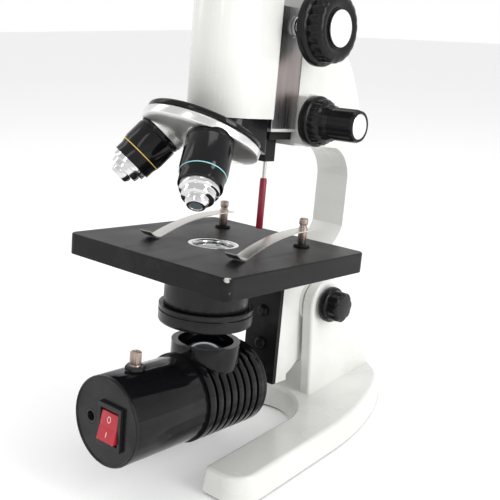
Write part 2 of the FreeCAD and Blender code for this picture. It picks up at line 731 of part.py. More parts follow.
node("lamp_cup", lamp_cup(), LAMP)
LED = LAMP + shift(0, d.axis_y, d.cup_rise - 10)
node("led_board", cylinder(d.cup_bore - d.fit_gap, 1.6, LED))
node("led_lens", turned(
    LED + shift(0, 0, 1.6), (0, 0), (d.led_lens_radius, 0), (d.led_lens_radius, 1.5),
    (0, 6.2, crown(d.led_lens_radius, 4.7))))
cell_start = d.lamp_front + d.end_thickness + d.switch_depth + 3
node("battery_cell", turned(
    LAMP + shift(0, cell_start, -(bore - d.cell_radius - 0.6)) + TO_BACK,
    (0, 0), (d.cell_radius, 0), (d.cell_radius, d.cell_length), (2.8, d.cell_length),
    (2.8, d.cell_length + 1), (0, d.cell_length + 1)))


def switch_bezel():
    proud = d.bezel_thickness
    flange = slab_along_y(d.switch_width, d.switch_height, -proud, 0.6, switch_place)
    shell = slab_along_y(d.switch_width - 3, d.switch_height - 3, 0, d.switch_depth,
                         switch_place)
    window = slab_along_y(d.rocker_width + 0.6, d.rocker_height + 1, -2, d.switch_depth - 3,
                          switch_place)
    return cut(fuse(flange, shell), window)


node("switch_bezel", switch_bezel(), LAMP)


rocker_axis = 1.0                # how far behind the end face the rocker's axis lies
rocker_half = d.rocker_height / 2 - 0.9
hub = 4.0
# Two faces that meet at a shallow ridge, over a round hub that turns about the axis.
node("switch_rocker", plate(
    d.rocker_width, LAMP + switch_place + shift(-d.rocker_width / 2) + SIDE_ON, [
        (-d.bezel_thickness - 0.4, 0), (-d.bezel_thickness - 2.4, -rocker_half),
        (rocker_axis, -rocker_half), (rocker_axis, -hub), (rocker_axis + hub, 0, hub),
        (rocker_axis, hub, hub), (rocker_axis, rocker_half),
        (-d.bezel_thickness + 0.8, rocker_half)]))


jack_rim = d.jack_radius - d.fit_gap
node("dc_jack", turned(
    LAMP + jack_place + shift(0, 0.6) + TO_BACK,
    (d.jack_bore, 0), (jack_rim, 0), (jack_rim, d.jack_depth), (0, d.jack_depth),
    (0, d.jack_depth - 2), (d.jack_bore, d.jack_depth - 2)))
DIMMER = LAMP + shift(0, d.dimmer_y)
pot_top = bore - 0.6
shaft_bore = d.shaft_radius + d.fit_gap
bush = d.shaft_radius + d.slide_gap
node("dimmer_pot", turned(
    DIMMER, (shaft_bore, pot_top - d.pot_height + 2), (0, pot_top - d.pot_height + 2),
    (0, pot_top - d.pot_height), (d.pot_radius, pot_top - d.pot_height),
    (d.pot_radius, pot_top - 2), (bush, pot_top - 2), (bush, pot_top - 1),
    (shaft_bore, pot_top - 1)))


def hexagon(radius):
    half = radius * 0.5
    flat = radius * 0.866
    return [(radius, 0), (half, flat), (-half, flat), (-radius, 0), (-half, -flat),
            (half, -flat)]


def dimmer_nut():
    slab = plate(d.nut_height, shift(0, 0, d.lamp_radius + 0.1), hexagon(d.nut_radius))
    return cut(slab, cylinder(shaft_bore, d.cup_rise + 9))


node("dimmer_nut", dimmer_nut(), DIMMER)
shaft_bottom = pot_top - d.pot_height + 2 + d.fit_gap * 2
node("dimmer_shaft", turned(
    DIMMER, (0, shaft_bottom), (d.shaft_radius, shaft_bottom),
    (d.shaft_radius, d.lamp_radius + d.shaft_rise - 0.6),
    (d.shaft_radius - 0.6, d.lamp_radius + d.shaft_rise),
    (0, d.lamp_radius + d.shaft_rise)))

# ---- Focus: a guide that the fine knobs lift, and the rack that the coarse knobs drive ----

FINE = LIMB + shift(0, d.fine_y, d.fine_z)
COARSE = LIMB + shift(0, d.coarse_y, d.coarse_z)
pitch_radius = d.gear_module * d.pinion_teeth / 2
rack_pitch_y = d.coarse_y - pitch_radius
addendum = d.gear_module * d.tooth_share
dedendum = d.gear_module * 1.2
pinion_outer = pitch_radius + addendum


def focus_guide():
    gap = d.slide_gap
    shell = block((-d.guide_half, d.guide_half), (d.guide_front, d.guide_back),
                  (d.guide_bottom, d.guide_top))
    width = d.tongue_half
    tongue = block((-width, width), (d.guide_back - 1, d.tongue_back),
                   (d.tongue_bottom, d.tongue_top))
    slide_half = d.slide_half + gap
    rack_half = d.rack_half + gap
    high, low = d.guide_top + 1, d.guide_bottom - 1
    slot = block((-slide_half, slide_half), (d.guide_front - 1, d.slide_back + gap), (low, high))
    rack_slot = block((-rack_half, rack_half), (d.slide_back, rack_pitch_y + addendum + gap),
                      (low, high))
    shaft_bore = cylinder(d.coarse_shaft_radius + d.fit_gap, 3 * d.guide_half,
                          shift(-1.5 * d.guide_half, d.coarse_y, d.coarse_z) + ALONG_X)
    pinion_half = d.rack_half + gap
    chamber = cylinder(pinion_outer + gap, 2 * pinion_half,
                       shift(-pinion_half, d.coarse_y, d.coarse_z) + ALONG_X)
    return cut(fuse(shell, tongue), slot, rack_slot, shaft_bore, chamber)


node("focus_guide", focus_guide(), LIMB)


def collar(side):
    place = shift(side * d.guide_half, d.coarse_y, d.coarse_z) + (
        ALONG_X if side > 0 else ALONG_MINUS_X)
    inside = d.coarse_shaft_radius + d.fit_gap
    length = d.coarse_in - d.guide_half - d.slide_gap
    return turned(place, (inside, 0), (d.coarse_collar_radius + 1, 0),
                  (d.coarse_collar_radius + 1, 2), (d.coarse_collar_radius, 2.6),
                  (d.coarse_collar_radius, length), (inside, length))


node("coarse_collars", group(collar(-1), collar(1)), LIMB)


def guide_foot():
    top = d.guide_bottom
    half = d.guide_half - 1.5
    slab = block((-half, half), (d.guide_front + 1, d.guide_back - 0.6),
                 (top - d.foot_thickness, top))
    lug = block((-4.5, 4.5), (d.block_front, d.guide_back - 2), (top - d.block_drop, top - 1))
    gap = d.slide_half + d.slide_gap
    clear = block((-gap, gap), (0, rack_pitch_y - 2), (top - 3 * d.foot_thickness, top + 1))
    rod_hole = cylinder(d.rod_radius, d.block_drop, shift(0, d.rod_y, top - d.block_drop - 1))
    return cut(fuse(cut(slab, clear), lug), rod_hole)


node("guide_foot", guide_foot(), LIMB)
rod_top = d.guide_bottom - 1
ROD = LIMB + shift(0, d.rod_y)
node("stop_rod", cylinder(d.rod_radius, rod_top - d.stop_gap - 1, ROD + shift(0, 0, d.stop_gap + 1)))
node("stop_sleeve", turned(
    ROD, (d.rod_radius, d.stop_gap + 1), (0, d.stop_gap + 1), (0, d.stop_gap),
    (d.sleeve_rod_radius, d.stop_gap), (d.sleeve_rod_radius, d.sleeve_top - 1),
    (d.sleeve_rod_radius - 0.4, d.sleeve_top), (d.rod_radius, d.sleeve_top)))


def gear_tooth(angle):
    """One straight-sided tooth that stands up along own +Y."""
    root, tip = d.gear_module * 0.55, d.gear_module * 0.3
    foot = pitch_radius - dedendum - 0.3
    return plate(2 * d.rack_half, shift(0, 0, -d.rack_half) + turn(0, 0, 1, angle), [
        (-root, foot), (root, foot), (tip, pinion_outer), (-tip, pinion_outer)])


def coarse_pinion():
    half = d.coarse_out
    shaft = cylinder(d.coarse_shaft_radius, 2 * half, shift(0, 0, -half))
    core = cylinder(pitch_radius - dedendum, 2 * d.rack_half, shift(0, 0, -d.rack_half))
    count = int(d.pinion_teeth.value)
    return fuse(shaft, core, *[gear_tooth(360 / count * step) for step in range(count)])


node("coarse_pinion", coarse_pinion(), COARSE + ALONG_X)


def coarse_knob(place):
    inside, back, front = d.coarse_shaft_radius, d.coarse_back_radius, d.coarse_front_radius
    length = d.coarse_out - d.coarse_in
    return turned(place, (inside, 0), (back - 1, 0), (back, 1, 1), (back, 4), (back - 1, 5, 1),
                  (back - 2.6, 5), (front, 6.5), (front, length - 2), (front - 2, length, 2),
                  (front - 4, length), (d.coarse_cap_radius + 1.5, length - 1.2),
                  (d.coarse_cap_radius, length - 1.2), (d.coarse_cap_radius, length - 0.4),
                  (inside, length - 0.4))


def knob_cap(radius, height, place):
    return turned(place, (0, 0), (radius, 0), (radius, 0.6),
                  (0, height, crown(radius, height - 0.6)))


node("coarse_knob_right", coarse_knob(COARSE + shift(d.coarse_in) + ALONG_X))
node("coarse_knob_left", coarse_knob(COARSE + shift(-d.coarse_in) + ALONG_MINUS_X))


def coarse_cap(direction):
    seat_depth = d.coarse_out - d.coarse_in - 0.4
    side = 1 if direction is ALONG_X else -1
    hollow = turned(shift(side * (d.coarse_in + seat_depth)) + direction,
                    (0, 0.4), (d.coarse_shaft_radius, 0.4), (d.coarse_shaft_radius, 0),
                    (d.coarse_cap_radius, 0), (d.coarse_cap_radius, 0.8),
                    (0, d.coarse_cap_height,
                     crown(d.coarse_cap_radius, d.coarse_cap_height - 0.8)))
    return hollow


node("coarse_knob_caps", group(coarse_cap(ALONG_X), coarse_cap(ALONG_MINUS_X)), COARSE)


def fine_shaft():
    half = d.fine_out - 1
    shaft = cylinder(d.fine_shaft_radius, 2 * half, shift(0, 0, -half))
    return fuse(shaft, cylinder(d.fine_cam_radius, 8, shift(0, 0, -4)))


node("fine_shaft", fine_shaft(), FINE + ALONG_X)


def fine_knob(place):
    inside, length = d.fine_shaft_radius, d.fine_out - d.fine_in
    back, neck, front = d.fine_back_radius, d.fine_neck_radius, d.fine_front_radius
    return turned(place, (inside, 0), (back - 1, 0), (back, 1, 1), (back, 4.5),
                  (back - 1, 5.5, 1), (neck, 5.5), (neck, 9), (neck - 1.4, 10.4),
                  (front + 1.4, 11), (front + 1.2, 14), (front, 15), (front, length - 1.5), (front - 1.5, length, 1.5),
                  (d.fine_cap_radius + 0.2, length), (d.fine_cap_radius, length - 1),
                  (inside, length - 1))


node("fine_knob_right", fine_knob(FINE + shift(d.fine_in) + ALONG_X))
node("fine_knob_left", fine_knob(FINE + shift(-d.fine_in) + ALONG_MINUS_X))
node("fine_knob_caps", group(*[
    knob_cap(d.fine_cap_radius, d.fine_cap_height + 1,
             shift(side * (d.fine_out - 1)) + direction)
    for side, direction in ((1, ALONG_X), (-1, ALONG_MINUS_X))]), FINE)


def focus_rack():
    bar = block((-d.slide_half, d.slide_half), (d.body_back, d.slide_back),
                (d.slide_bottom, d.slide_top))
    spine = block((-d.rack_half, d.rack_half), (d.slide_back - 1, rack_pitch_y - dedendum),
                  (d.rack_bottom, d.rack_top))
    pitch = d.gear_module * pi
    first = -int((d.coarse_z.value - d.rack_bottom.value - 2) / pitch.value)
    last = int((d.rack_top.value - d.coarse_z.value - 2) / pitch.value)
    teeth = [rack_tooth(d.coarse_z + pitch * (step + 0.5)) for step in range(first, last)]
    return fuse(bar, spine, *teeth)


def rack_tooth(height):
    root, tip = d.gear_module * 0.65, d.gear_module * 0.35
    foot = rack_pitch_y - dedendum - 0.4
    return plate(2 * d.rack_half, shift(-d.rack_half, 0, height) + SIDE_ON, [
        (foot, -root), (rack_pitch_y + addendum, -tip), (rack_pitch_y + addendum, tip),
        (foot, root)])


node("focus_rack", focus_rack(), LIMB)

# ---- Tube and revolving nosepiece ----

turret_top = d.turret_rim
disc_bottom = turret_top + d.turret_gap
body_floor = disc_bottom + d.disc_thickness


def tube_section(bottom, top, inset):
    """An upright D: a round front about the tube's axis and a flat back."""
    half, back, corner = d.body_radius - inset, d.body_back - inset, 2
    return plate(top - bottom, shift(0, 0, bottom), [
        (half, back - corner), (half - corner, back, corner), (-(half - corner), back),
        (-half, back - corner, corner), (-half, d.axis_y), (0, d.axis_y - half, half),
        (half, d.axis_y, half)])


def bores():
    """The light path up the tube, and the hole for the turret's screw."""
    light = cylinder(d.light_radius, 2 * d.body_top, shift(0, d.axis_y, -d.turret_z))
    screw_hole = cylinder(d.pivot_screw, 8, TURRET + shift(0, 0, body_floor - 1))
    return light, screw_hole


def body_casting():
    shell = tube_section(d.body_bottom, d.body_top, 0)
    collar = turned(shift(0, d.axis_y),
                    (0, d.body_top - 1), (d.collar_radius, d.body_top - 1),
                    (d.collar_radius, d.body_top + d.collar_height - 1),
                    (d.collar_radius - 1, d.body_top + d.collar_height, 1),
                    (0, d.body_top + d.collar_height))
    tube_bore = cylinder(d.draw_radius, d.body_top, shift(0, d.axis_y, d.draw_bottom))
    return cut(fuse(shell, collar), tube_bore, *bores())


def nose_disc():
    """The disc over the turret, and the wedge between it and the body's level foot."""
    disc = turned(TURRET + shift(0, 0, disc_bottom), (d.pivot_screw, 0),
                  (d.disc_radius - 0.8, 0), (d.disc_radius, 0.8),
                  (d.disc_radius, d.disc_thickness - 0.8),
                  (d.disc_radius - 0.8, d.disc_thickness), (d.pivot_screw, d.disc_thickness))
    reach = 4 * d.body_radius
    below = cylinder(reach, reach, TURRET + shift(0, 0, body_floor - reach))
    wedge = cut(tube_section(d.body_bottom - reach / 2, d.body_bottom, d.mount_inset), below)
    return cut(fuse(disc, wedge), *bores())


node("body_casting", body_casting(), LIMB)
node("nose_disc", nose_disc(), LIMB)
node("draw_tube", cut(
    cylinder(d.draw_radius, d.draw_top - d.draw_bottom),
    cylinder(d.draw_radius - d.draw_wall, d.draw_top)), LIMB + shift(0, d.axis_y, d.draw_bottom))


def eyepiece():
    outer = d.draw_radius - d.draw_wall - d.fit_gap
    inner = outer - d.eyepiece_wall
    top, head = d.eyepiece_rise, d.eyepiece_head
    return turned(LIMB + shift(0, d.axis_y, d.draw_top + d.fit_gap),
                  (inner, -d.eyepiece_sleeve), (outer, -d.eyepiece_sleeve), (outer, 0),
                  (head, 0), (head, top - 8), (head - 1, top - 6.5), (head, top - 5),
                  (head, top - 1.5), (head - 1.5, top, 1.5), (6, top - 1.2), (6, 6),
                  (inner, 4))


node("eyepiece", eyepiece())

objective_turns = {"high": -120.0, "low": 120.0, "spare": 0.0}


def port(angle):
    return turn(0, 0, 1, angle) + shift(0, d.port_circle) + tilt(d.turret_tilt)


def turret_shell():
    rim, top = d.turret_radius, d.turret_rim
    dome = turned(shift(), (0, -d.turret_dome),
                  (rim - 0.6, 0, crown(rim - 0.6, d.turret_dome)), (rim, 0.6),
                  (rim, top - 0.8), (rim - 0.8, top), (0, top))
    bosses = [cylinder(d.port_boss, 2 * d.port_drop, port(angle) + shift(0, 0, -d.port_drop))
              for angle in objective_turns.values()]
    envelope = cylinder(rim, top + 30, shift(0, 0, -30))
    ports = [cylinder(d.port_radius, 40, port(angle) + shift(0, 0, -20))
             for angle in objective_turns.values()]
    faces = [cylinder(d.port_boss + d.slide_gap, 20, port(angle) + shift(0, 0, -20 - d.port_drop))
             for angle in objective_turns.values()]
    screw_hole = cylinder(d.pivot_screw + d.fit_gap, 40, shift(0, 0, -20))
    return cut(common(fuse(dome, *bosses), envelope), screw_hole, *ports, *faces)


node("turret", turret_shell(), LIMB + TURRET)
head_bottom = -d.turret_dome - d.slide_gap
node("turret_screw", turned(
    LIMB + TURRET, (0, head_bottom - 1.6), (3.4, head_bottom - 1.6, ), (4.2, head_bottom - 0.8, 0.8),
    (4.2, head_bottom), (d.pivot_screw, head_bottom), (d.pivot_screw, body_floor + 6),
    (0, body_floor + 6)))


def objective_barrel(angle, length):
    thread, depth = d.port_radius - d.fit_gap, d.port_drop
    place = LIMB + TURRET + port(angle)
    bore = 7.0
    return turned(place, (bore, -length), (d.barrel_end, -length), (d.barrel_end, -length + 4),
                  (d.barrel_radius, -length + 9), (d.barrel_radius, -depth - 3),
                  (d.barrel_radius - 0.5, -depth - 2.6), (d.barrel_radius - 0.5, -depth - 2.1),
                  (d.barrel_radius, -depth - 1.7), (d.barrel_radius, -depth),
                  (thread, -depth), (thread, -0.5), (bore, -0.5))


def objective_nose(angle, barrel, length):
    place = LIMB + TURRET + port(angle)
    reach = length - barrel
    return turned(place, (3.2, -length), (4.4, -length), (5.6, -length + 0.2 * reach),
                  (5.6, -length + 0.35 * reach), (8, -length + 0.4 * reach),
                  (8.4, -length + 0.7 * reach), (9.8, -length + 0.74 * reach),
                  (9.8, -barrel), (5, -barrel), (5, -length + 0.5 * reach),
                  (3.2, -length + 0.3 * reach))


def front_lens(angle, length):
    return turned(port(angle), (0, -length + 0.3), (3.2, -length + 0.3), (3.2, -length + 1.8),
                  (0, -length + 2.6))


node("objective_high_barrel", objective_barrel(objective_turns["high"], d.high_barrel))
node("objective_low_barrel", objective_barrel(objective_turns["low"], d.low_barrel))
node("objective_high_nose",
     objective_nose(objective_turns["high"], d.high_barrel, d.high_length))
node("objective_low_nose", objective_nose(objective_turns["low"], d.low_barrel, d.low_length))
node("objective_lenses", group(front_lens(objective_turns["high"], d.high_length),
                               front_lens(objective_turns["low"], d.low_length)),
     LIMB + TURRET)

# ---- Checks and export ----

doc.recompute()
for thing in doc.Objects:
    if {"Invalid", "Error"} & set(thing.State):
        raise RuntimeError(f"{thing.Name} ({thing.Label}) could not be built: {thing.State}")
for thing in pieces:
    shape = thing.Shape
    if shape.isNull() or not shape.isValid() or not shape.Solids:
        raise RuntimeError(f"{thing.Label} has no valid shape")
    if min(solid.Volume for solid in shape.Solids) <= 0:
        raise RuntimeError(f"{thing.Label} is inside out")
os.makedirs("parts", exist_ok=True)
for thing in pieces:
    thing.Shape.exportStep(f"parts/{thing.Label}.step")
print(len(pieces), "sub-parts")
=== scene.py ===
import json
from math import cos, pi, radians, sin

import bpy
import bmesh
from mathutils import Matrix, Vector


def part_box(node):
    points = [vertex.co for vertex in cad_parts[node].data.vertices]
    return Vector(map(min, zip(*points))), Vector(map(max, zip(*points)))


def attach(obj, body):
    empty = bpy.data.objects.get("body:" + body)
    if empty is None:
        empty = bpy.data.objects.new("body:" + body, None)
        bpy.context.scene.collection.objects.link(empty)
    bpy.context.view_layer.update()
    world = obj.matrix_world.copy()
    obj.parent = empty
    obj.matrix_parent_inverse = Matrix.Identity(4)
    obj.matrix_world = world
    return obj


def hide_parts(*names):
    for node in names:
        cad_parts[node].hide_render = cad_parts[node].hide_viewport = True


# A student's microscope: its castings, knobs, stage, lamp and nosepiece, on a pale studio floor.
# Everything is in metres in the row frame.  MM turns the sizes below, in millimetres, into it.

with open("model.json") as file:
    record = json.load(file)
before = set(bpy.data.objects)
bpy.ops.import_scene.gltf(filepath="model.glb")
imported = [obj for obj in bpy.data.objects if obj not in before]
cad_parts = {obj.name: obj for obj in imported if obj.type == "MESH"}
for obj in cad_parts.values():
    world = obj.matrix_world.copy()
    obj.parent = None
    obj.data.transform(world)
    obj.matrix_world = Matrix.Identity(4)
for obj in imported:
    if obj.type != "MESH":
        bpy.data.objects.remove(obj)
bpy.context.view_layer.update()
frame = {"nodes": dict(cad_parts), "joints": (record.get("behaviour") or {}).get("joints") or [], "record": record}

MM = 0.001
NODES = frame["nodes"]
JOINTS = {joint["name"]: joint for joint in frame["joints"]}


# ---- Places ----

def joint_point(name):
    return Vector(JOINTS[name]["pos_m"])


def joint_axis(name):
    return Vector(JOINTS[name]["axis"]).normalized()


def along(axis, origin):
    """A place whose own Z lies along an axis; own X stays level where it can."""
    up = Vector(axis).normalized()
    side = Vector((1, 0, 0)) if abs(up.x) < 0.9 else Vector((0, 1, 0))
    own_y = up.cross(side).normalized()
    own_x = own_y.cross(up).normalized()
    turned = Matrix((own_x, own_y, up)).transposed().to_4x4()
    return Matrix.Translation(Vector(origin)) @ turned


LIMB_UP = joint_axis("fine_travel")
PIVOT = joint_point("inclination")
PIVOT_BACK, PIVOT_DROP = 78.0 * MM, 41.5 * MM     # the pivot, from the stage's centre
LIMB = along(LIMB_UP, PIVOT) @ Matrix.Translation((0, -PIVOT_BACK, PIVOT_DROP))


# ---- Shader maths ----

class Wire:
    """One output of a node.  Arithmetic on it adds Math nodes to its paint."""

    def __init__(self, paint, socket):
        self.paint = paint
        self.socket = socket

    def maths(self, operation, *values):
        return self.paint.maths(operation, *values)

    def __add__(self, other):
        return self.maths("ADD", self, other)

    def __sub__(self, other):
        return self.maths("SUBTRACT", self, other)

    def __rsub__(self, other):
        return self.maths("SUBTRACT", other, self)

    def __mul__(self, other):
        return self.maths("MULTIPLY", self, other)

    def __truediv__(self, other):
        return self.maths("DIVIDE", self, other)

    __radd__ = __add__
    __rmul__ = __mul__


class Paint:
    """A material: a Principled shader and the nodes that feed it."""

    def __init__(self, name, **constants):
        self.material = bpy.data.materials.new(name)
        self.material.use_nodes = True
        self.tree = self.material.node_tree
        self.shader = self.tree.nodes["Principled BSDF"]
        for socket, value in constants.items():
            self.shader.inputs[socket.replace("_", " ")].default_value = value

    def node(self, kind, settings=None, inputs=None, output=0):
        made = self.tree.nodes.new(kind)
        for name, value in (settings or {}).items():
            if name == "stops":
                self.set_stops(made.color_ramp, value)
            else:
                setattr(made, name, value)
        for name, value in (inputs or {}).items():
            self.feed(made.inputs[name], value)
        return Wire(self, made.outputs[output])

    def feed(self, socket, value):
        if isinstance(value, Wire):
            self.tree.links.new(value.socket, socket)
        else:
            socket.default_value = value

    def set_stops(self, ramp, stops):
        while len(ramp.elements) < len(stops):
            ramp.elements.new(0.5)
        for element, (place, colour) in zip(ramp.elements, stops):
            element.position = place
            element.color = colour

    def maths(self, operation, *values):
        return self.node("ShaderNodeMath", {"operation": operation},
                         dict(enumerate(values)))

    def vector(self, operation, *values):
        output = 1 if operation in ("DOT_PRODUCT", "DISTANCE") else 0
        return self.node("ShaderNodeVectorMath", {"operation": operation},
                         dict(enumerate(values)), output)

    def position(self):
        return self.node("ShaderNodeTexCoord", output="Object")

    def height(self, axis, origin):
        """How far a point is along an axis from an origin, in millimetres."""
        offset = self.vector("SUBTRACT", self.position(), tuple(origin))
        return self.vector("DOT_PRODUCT", offset, tuple(axis)) / MM

    def noise(self, scale, detail=2.0, stretch=(1, 1, 1)):
        """Noise whose scale is in features per metre, squeezed along the limb's own axes."""
        turned = self.node("ShaderNodeMapping", {"vector_type": "TEXTURE"},
                           {"Vector": self.position(), "Rotation": LIMB.to_euler()})
        squeezed = self.vector("MULTIPLY", turned, stretch)
        return self.node("ShaderNodeTexNoise", None,
                         {"Vector": squeezed, "Scale": scale, "Detail": detail}, "Fac")

    def step(self, value, low, high):
        return self.node("ShaderNodeMapRange", {"interpolation_type": "SMOOTHSTEP"},
                         {"Value": value, "From Min": low, "From Max": high})

    def mix(self, mask, first, second):
        """A colour between two, through the Mix node's colour sockets, which share their names."""
        return self.node("ShaderNodeMix", {"data_type": "RGBA"}, {0: mask, 6: first, 7: second}, 2)

    def bump(self, height, distance, strength=1.0):
        relief = self.node("ShaderNodeBump", None,
                           {"Height": height, "Distance": distance * MM, "Strength": strength})
        self.tree.links.new(relief.socket, self.shader.inputs["Normal"])

    def paint(self, **sockets):
        for socket, value in sockets.items():
            self.feed(self.shader.inputs[socket.replace("_", " ")], value)
        return self.material


def rgb(red, green, blue):
    return (red, green, blue, 1.0)


# ---- Finishes ----

def baked_enamel():
    """Glossy off-white enamel over a casting, with a faint orange peel and a few dust specks."""
    paint = Paint("baked_enamel", Coat_Roughness=0.06, Specular_IOR_Level=0.5)
    cloud = paint.noise(22, 3)
    fresh, aged = rgb(0.76, 0.765, 0.735), rgb(0.70, 0.705, 0.67)
    tone = paint.mix(paint.step(cloud, 0.35, 0.7), fresh, aged)
    specks = paint.step(paint.noise(900, 1), 0.80, 0.83)
    tone = paint.mix(specks * 0.5, tone, rgb(0.42, 0.40, 0.36))
    paint.bump(paint.noise(420, 2) + paint.noise(60, 1) * 0.5, 0.12, 0.25)
    return paint.paint(Base_Color=tone, Roughness=cloud * 0.12 + 0.2,
                       Coat_Weight=paint.step(paint.noise(120, 2), 0.2, 0.8) * 0.4 + 0.15)


def stage_enamel():
    """Satin black enamel with a fine grain, rubbed wear and two chips by the near corner."""
    paint = Paint("stage_enamel", Specular_IOR_Level=0.16)
    corner = LIMB @ Vector((57.2 * MM, -57.2 * MM, 0))
    side_chip = LIMB @ Vector((57.5 * MM, -55.0 * MM, -7.2 * MM))
    ragged = paint.noise(700, 3)
    chips = None
    for place, size in ((corner, 2.6), (side_chip, 0.7)):
        reach = paint.vector("DISTANCE", paint.position(), tuple(place)) / MM
        chip = paint.step(reach + ragged * 2.2, size + 1.3, size + 0.9)
        chips = chip if chips is None else paint.maths("MAXIMUM", chips, chip)
    rub = paint.noise(90, 4, (1, 0.12, 1))
    wear = paint.step(rub, 0.52, 0.75)
    base = paint.mix(wear * 0.55, rgb(0.008, 0.008, 0.009), rgb(0.026, 0.024, 0.023))
    base = paint.mix(chips, base, rgb(0.55, 0.53, 0.5))
    grain = paint.noise(2600, 2)
    paint.bump(grain + paint.noise(700, 2, (1, 0.05, 1)) * 0.4 - chips * 3, 0.05, 0.5)
    rough = paint.noise(35, 3) * 0.16 + 0.3 + wear * 0.08
    return paint.paint(Base_Color=base, Roughness=rough, Metallic=chips * 0.8)


def black_lacquer(name, base, rough, grain=1500.0):
    """Gloss black on turned metal: a fine grain, finger smudges and a little dust."""
    paint = Paint(name, Coat_Roughness=0.05, Specular_IOR_Level=0.16)
    smudge = paint.step(paint.noise(70, 4), 0.42, 0.72)
    dust = paint.step(paint.noise(1300, 1), 0.81, 0.85)
    tone = paint.mix(dust * 0.35, rgb(*base), rgb(0.35, 0.34, 0.33))
    paint.bump(paint.noise(grain, 2) + paint.noise(180, 2) * 0.6, 0.03, 0.35)
    return paint.paint(Base_Color=tone, Roughness=smudge * 0.14 + rough,
                       Coat_Weight=0.22 - smudge * 0.14)


def moulded_plastic():
    """Gloss black moulded plastic with soft flow marks."""
    paint = Paint("moulded_plastic", IOR=1.45, Specular_IOR_Level=0.22)
    flow = paint.noise(50, 3)
    tone = paint.mix(flow, rgb(0.006, 0.006, 0.007), rgb(0.012, 0.012, 0.013))
    dust = paint.step(paint.noise(1100, 1), 0.80, 0.84)
    tone = paint.mix(dust * 0.4, tone, rgb(0.4, 0.39, 0.38))
    paint.bump(paint.noise(500, 2), 0.05, 0.3)
    return paint.paint(Base_Color=tone, Roughness=flow * 0.16 + 0.16)


def brushed_metal(name, bright, dark, rough, stretch, scale=500.0, relief=0.02):
    """Metal with brush lines along the direction that is squeezed least."""
    paint = Paint(name, Metallic=1.0)
    lines = paint.noise(scale, 4, stretch)
    patch = paint.noise(40, 2)
    tone = paint.mix(lines * 0.7 + patch * 0.3, rgb(*dark), rgb(*bright))
    paint.bump(lines, relief, 0.3)
    return paint.paint(Base_Color=tone, Roughness=lines * 0.16 + rough)


def guide_nickel():
    """Brushed nickel that darkens and warms towards the middle of the guide."""
    paint = Paint("guide_nickel", Metallic=1.0)
    up = paint.height(LIMB_UP, LIMB.translation)
    lines = paint.noise(900, 4, (1, 1, 0.03))
    # A band through the guide's middle, set by height, darker and warmer.
    middle_band = paint.step(up, 66, 82) * (1 - paint.step(up, 96, 112))
    tone = paint.mix(middle_band, rgb(0.30, 0.30, 0.31), rgb(0.29, 0.235, 0.22))
    tone = paint.mix(lines * 0.5, tone, rgb(0.52, 0.51, 0.5))
    paint.bump(lines, 0.02, 0.5)
    return paint.paint(Base_Color=tone, Roughness=lines * 0.2 + 0.2)


def bright_chrome():
    """Polished chrome under a faint haze."""
    paint = Paint("bright_chrome", Metallic=1.0)
    haze = paint.noise(150, 3)
    tone = paint.mix(haze, rgb(0.62, 0.62, 0.63), rgb(0.80, 0.80, 0.80))
    paint.bump(paint.noise(900, 2), 0.01, 0.3)
    return paint.paint(Base_Color=tone, Roughness=haze * 0.1 + 0.04)


def turret_plate():
    """A satin silver dome below a polished rim, with a few tiny pits."""
    paint = Paint("turret_plate", Metallic=1.0)
    rise = paint.height(joint_axis("nosepiece_turn"), joint_point("nosepiece_turn"))
    rim = paint.step(rise, 0.1, 0.5)
    pits = paint.step(paint.noise(800, 1), 0.79, 0.81)
    grain = paint.noise(1400, 3)
    tone = paint.mix(rim, rgb(0.72, 0.72, 0.70), rgb(0.80, 0.80, 0.79))
    tone = paint.mix(pits * 0.7, tone, rgb(0.12, 0.11, 0.1))
    paint.bump(grain - pits, 0.02, 0.5)
    return paint.paint(Base_Color=tone, Roughness=(1 - rim) * 0.2 + grain * 0.1 + 0.16)


def coated_glass():
    """Dark lens glass with the violet and green of its coating, and a pale painted sheen where it is seen edge-on.
    """
    paint = Paint("coated_glass", IOR=1.52, Specular_IOR_Level=0.8, Coat_Weight=1.0,
                  Coat_Roughness=0.02)
    # Painted sheen: the colour turns pale towards grazing view angles.
    painted_edge_sheen = paint.node("ShaderNodeLayerWeight", None, {"Blend": 0.4}, "Facing")
    cloud = paint.noise(160, 2)
    tint = paint.mix(cloud, rgb(0.02, 0.05, 0.05), rgb(0.05, 0.03, 0.07))
    tone = paint.mix(painted_edge_sheen, tint, rgb(0.20, 0.24, 0.25))
    return paint.paint(Base_Color=tone, Roughness=paint.noise(300, 2) * 0.04 + 0.02)


def felt():
    """Thin black felt with its fibres standing."""
    paint = Paint("felt", Sheen_Weight=0.4, Sheen_Roughness=0.5)
    fibres = paint.noise(1800, 5, (1, 0.5, 1))
    tone = paint.mix(fibres, rgb(0.012, 0.012, 0.013), rgb(0.05, 0.05, 0.05))
    paint.bump(fibres, 0.2, 0.8)
    return paint.paint(Base_Color=tone, Roughness=fibres * 0.1 + 0.85)


def coloured_plastic(name, deep, pale, rough):
    """Smooth moulded plastic that drifts between two shades."""
    paint = Paint(name, Subsurface_Weight=0.08, Subsurface_Scale=0.002)
    flow = paint.noise(240, 3)
    paint.bump(paint.noise(1500, 2), 0.02, 0.3)
    return paint.paint(Base_Color=paint.mix(flow, rgb(*deep), rgb(*pale)),
                       Roughness=flow * 0.14 + rough)


def silver_lacquer():
    """A bright cap with faint streaks."""
    paint = Paint("silver_lacquer", Metallic=0.35, Coat_Weight=0.5, Coat_Roughness=0.05)
    haze = paint.noise(260, 3, (0.2, 1, 1))
    paint.bump(haze, 0.02, 0.3)
    tone = paint.mix(haze, rgb(0.80, 0.80, 0.79), rgb(0.93, 0.93, 0.92))
    return paint.paint(Base_Color=tone, Roughness=haze * 0.14 + 0.1)


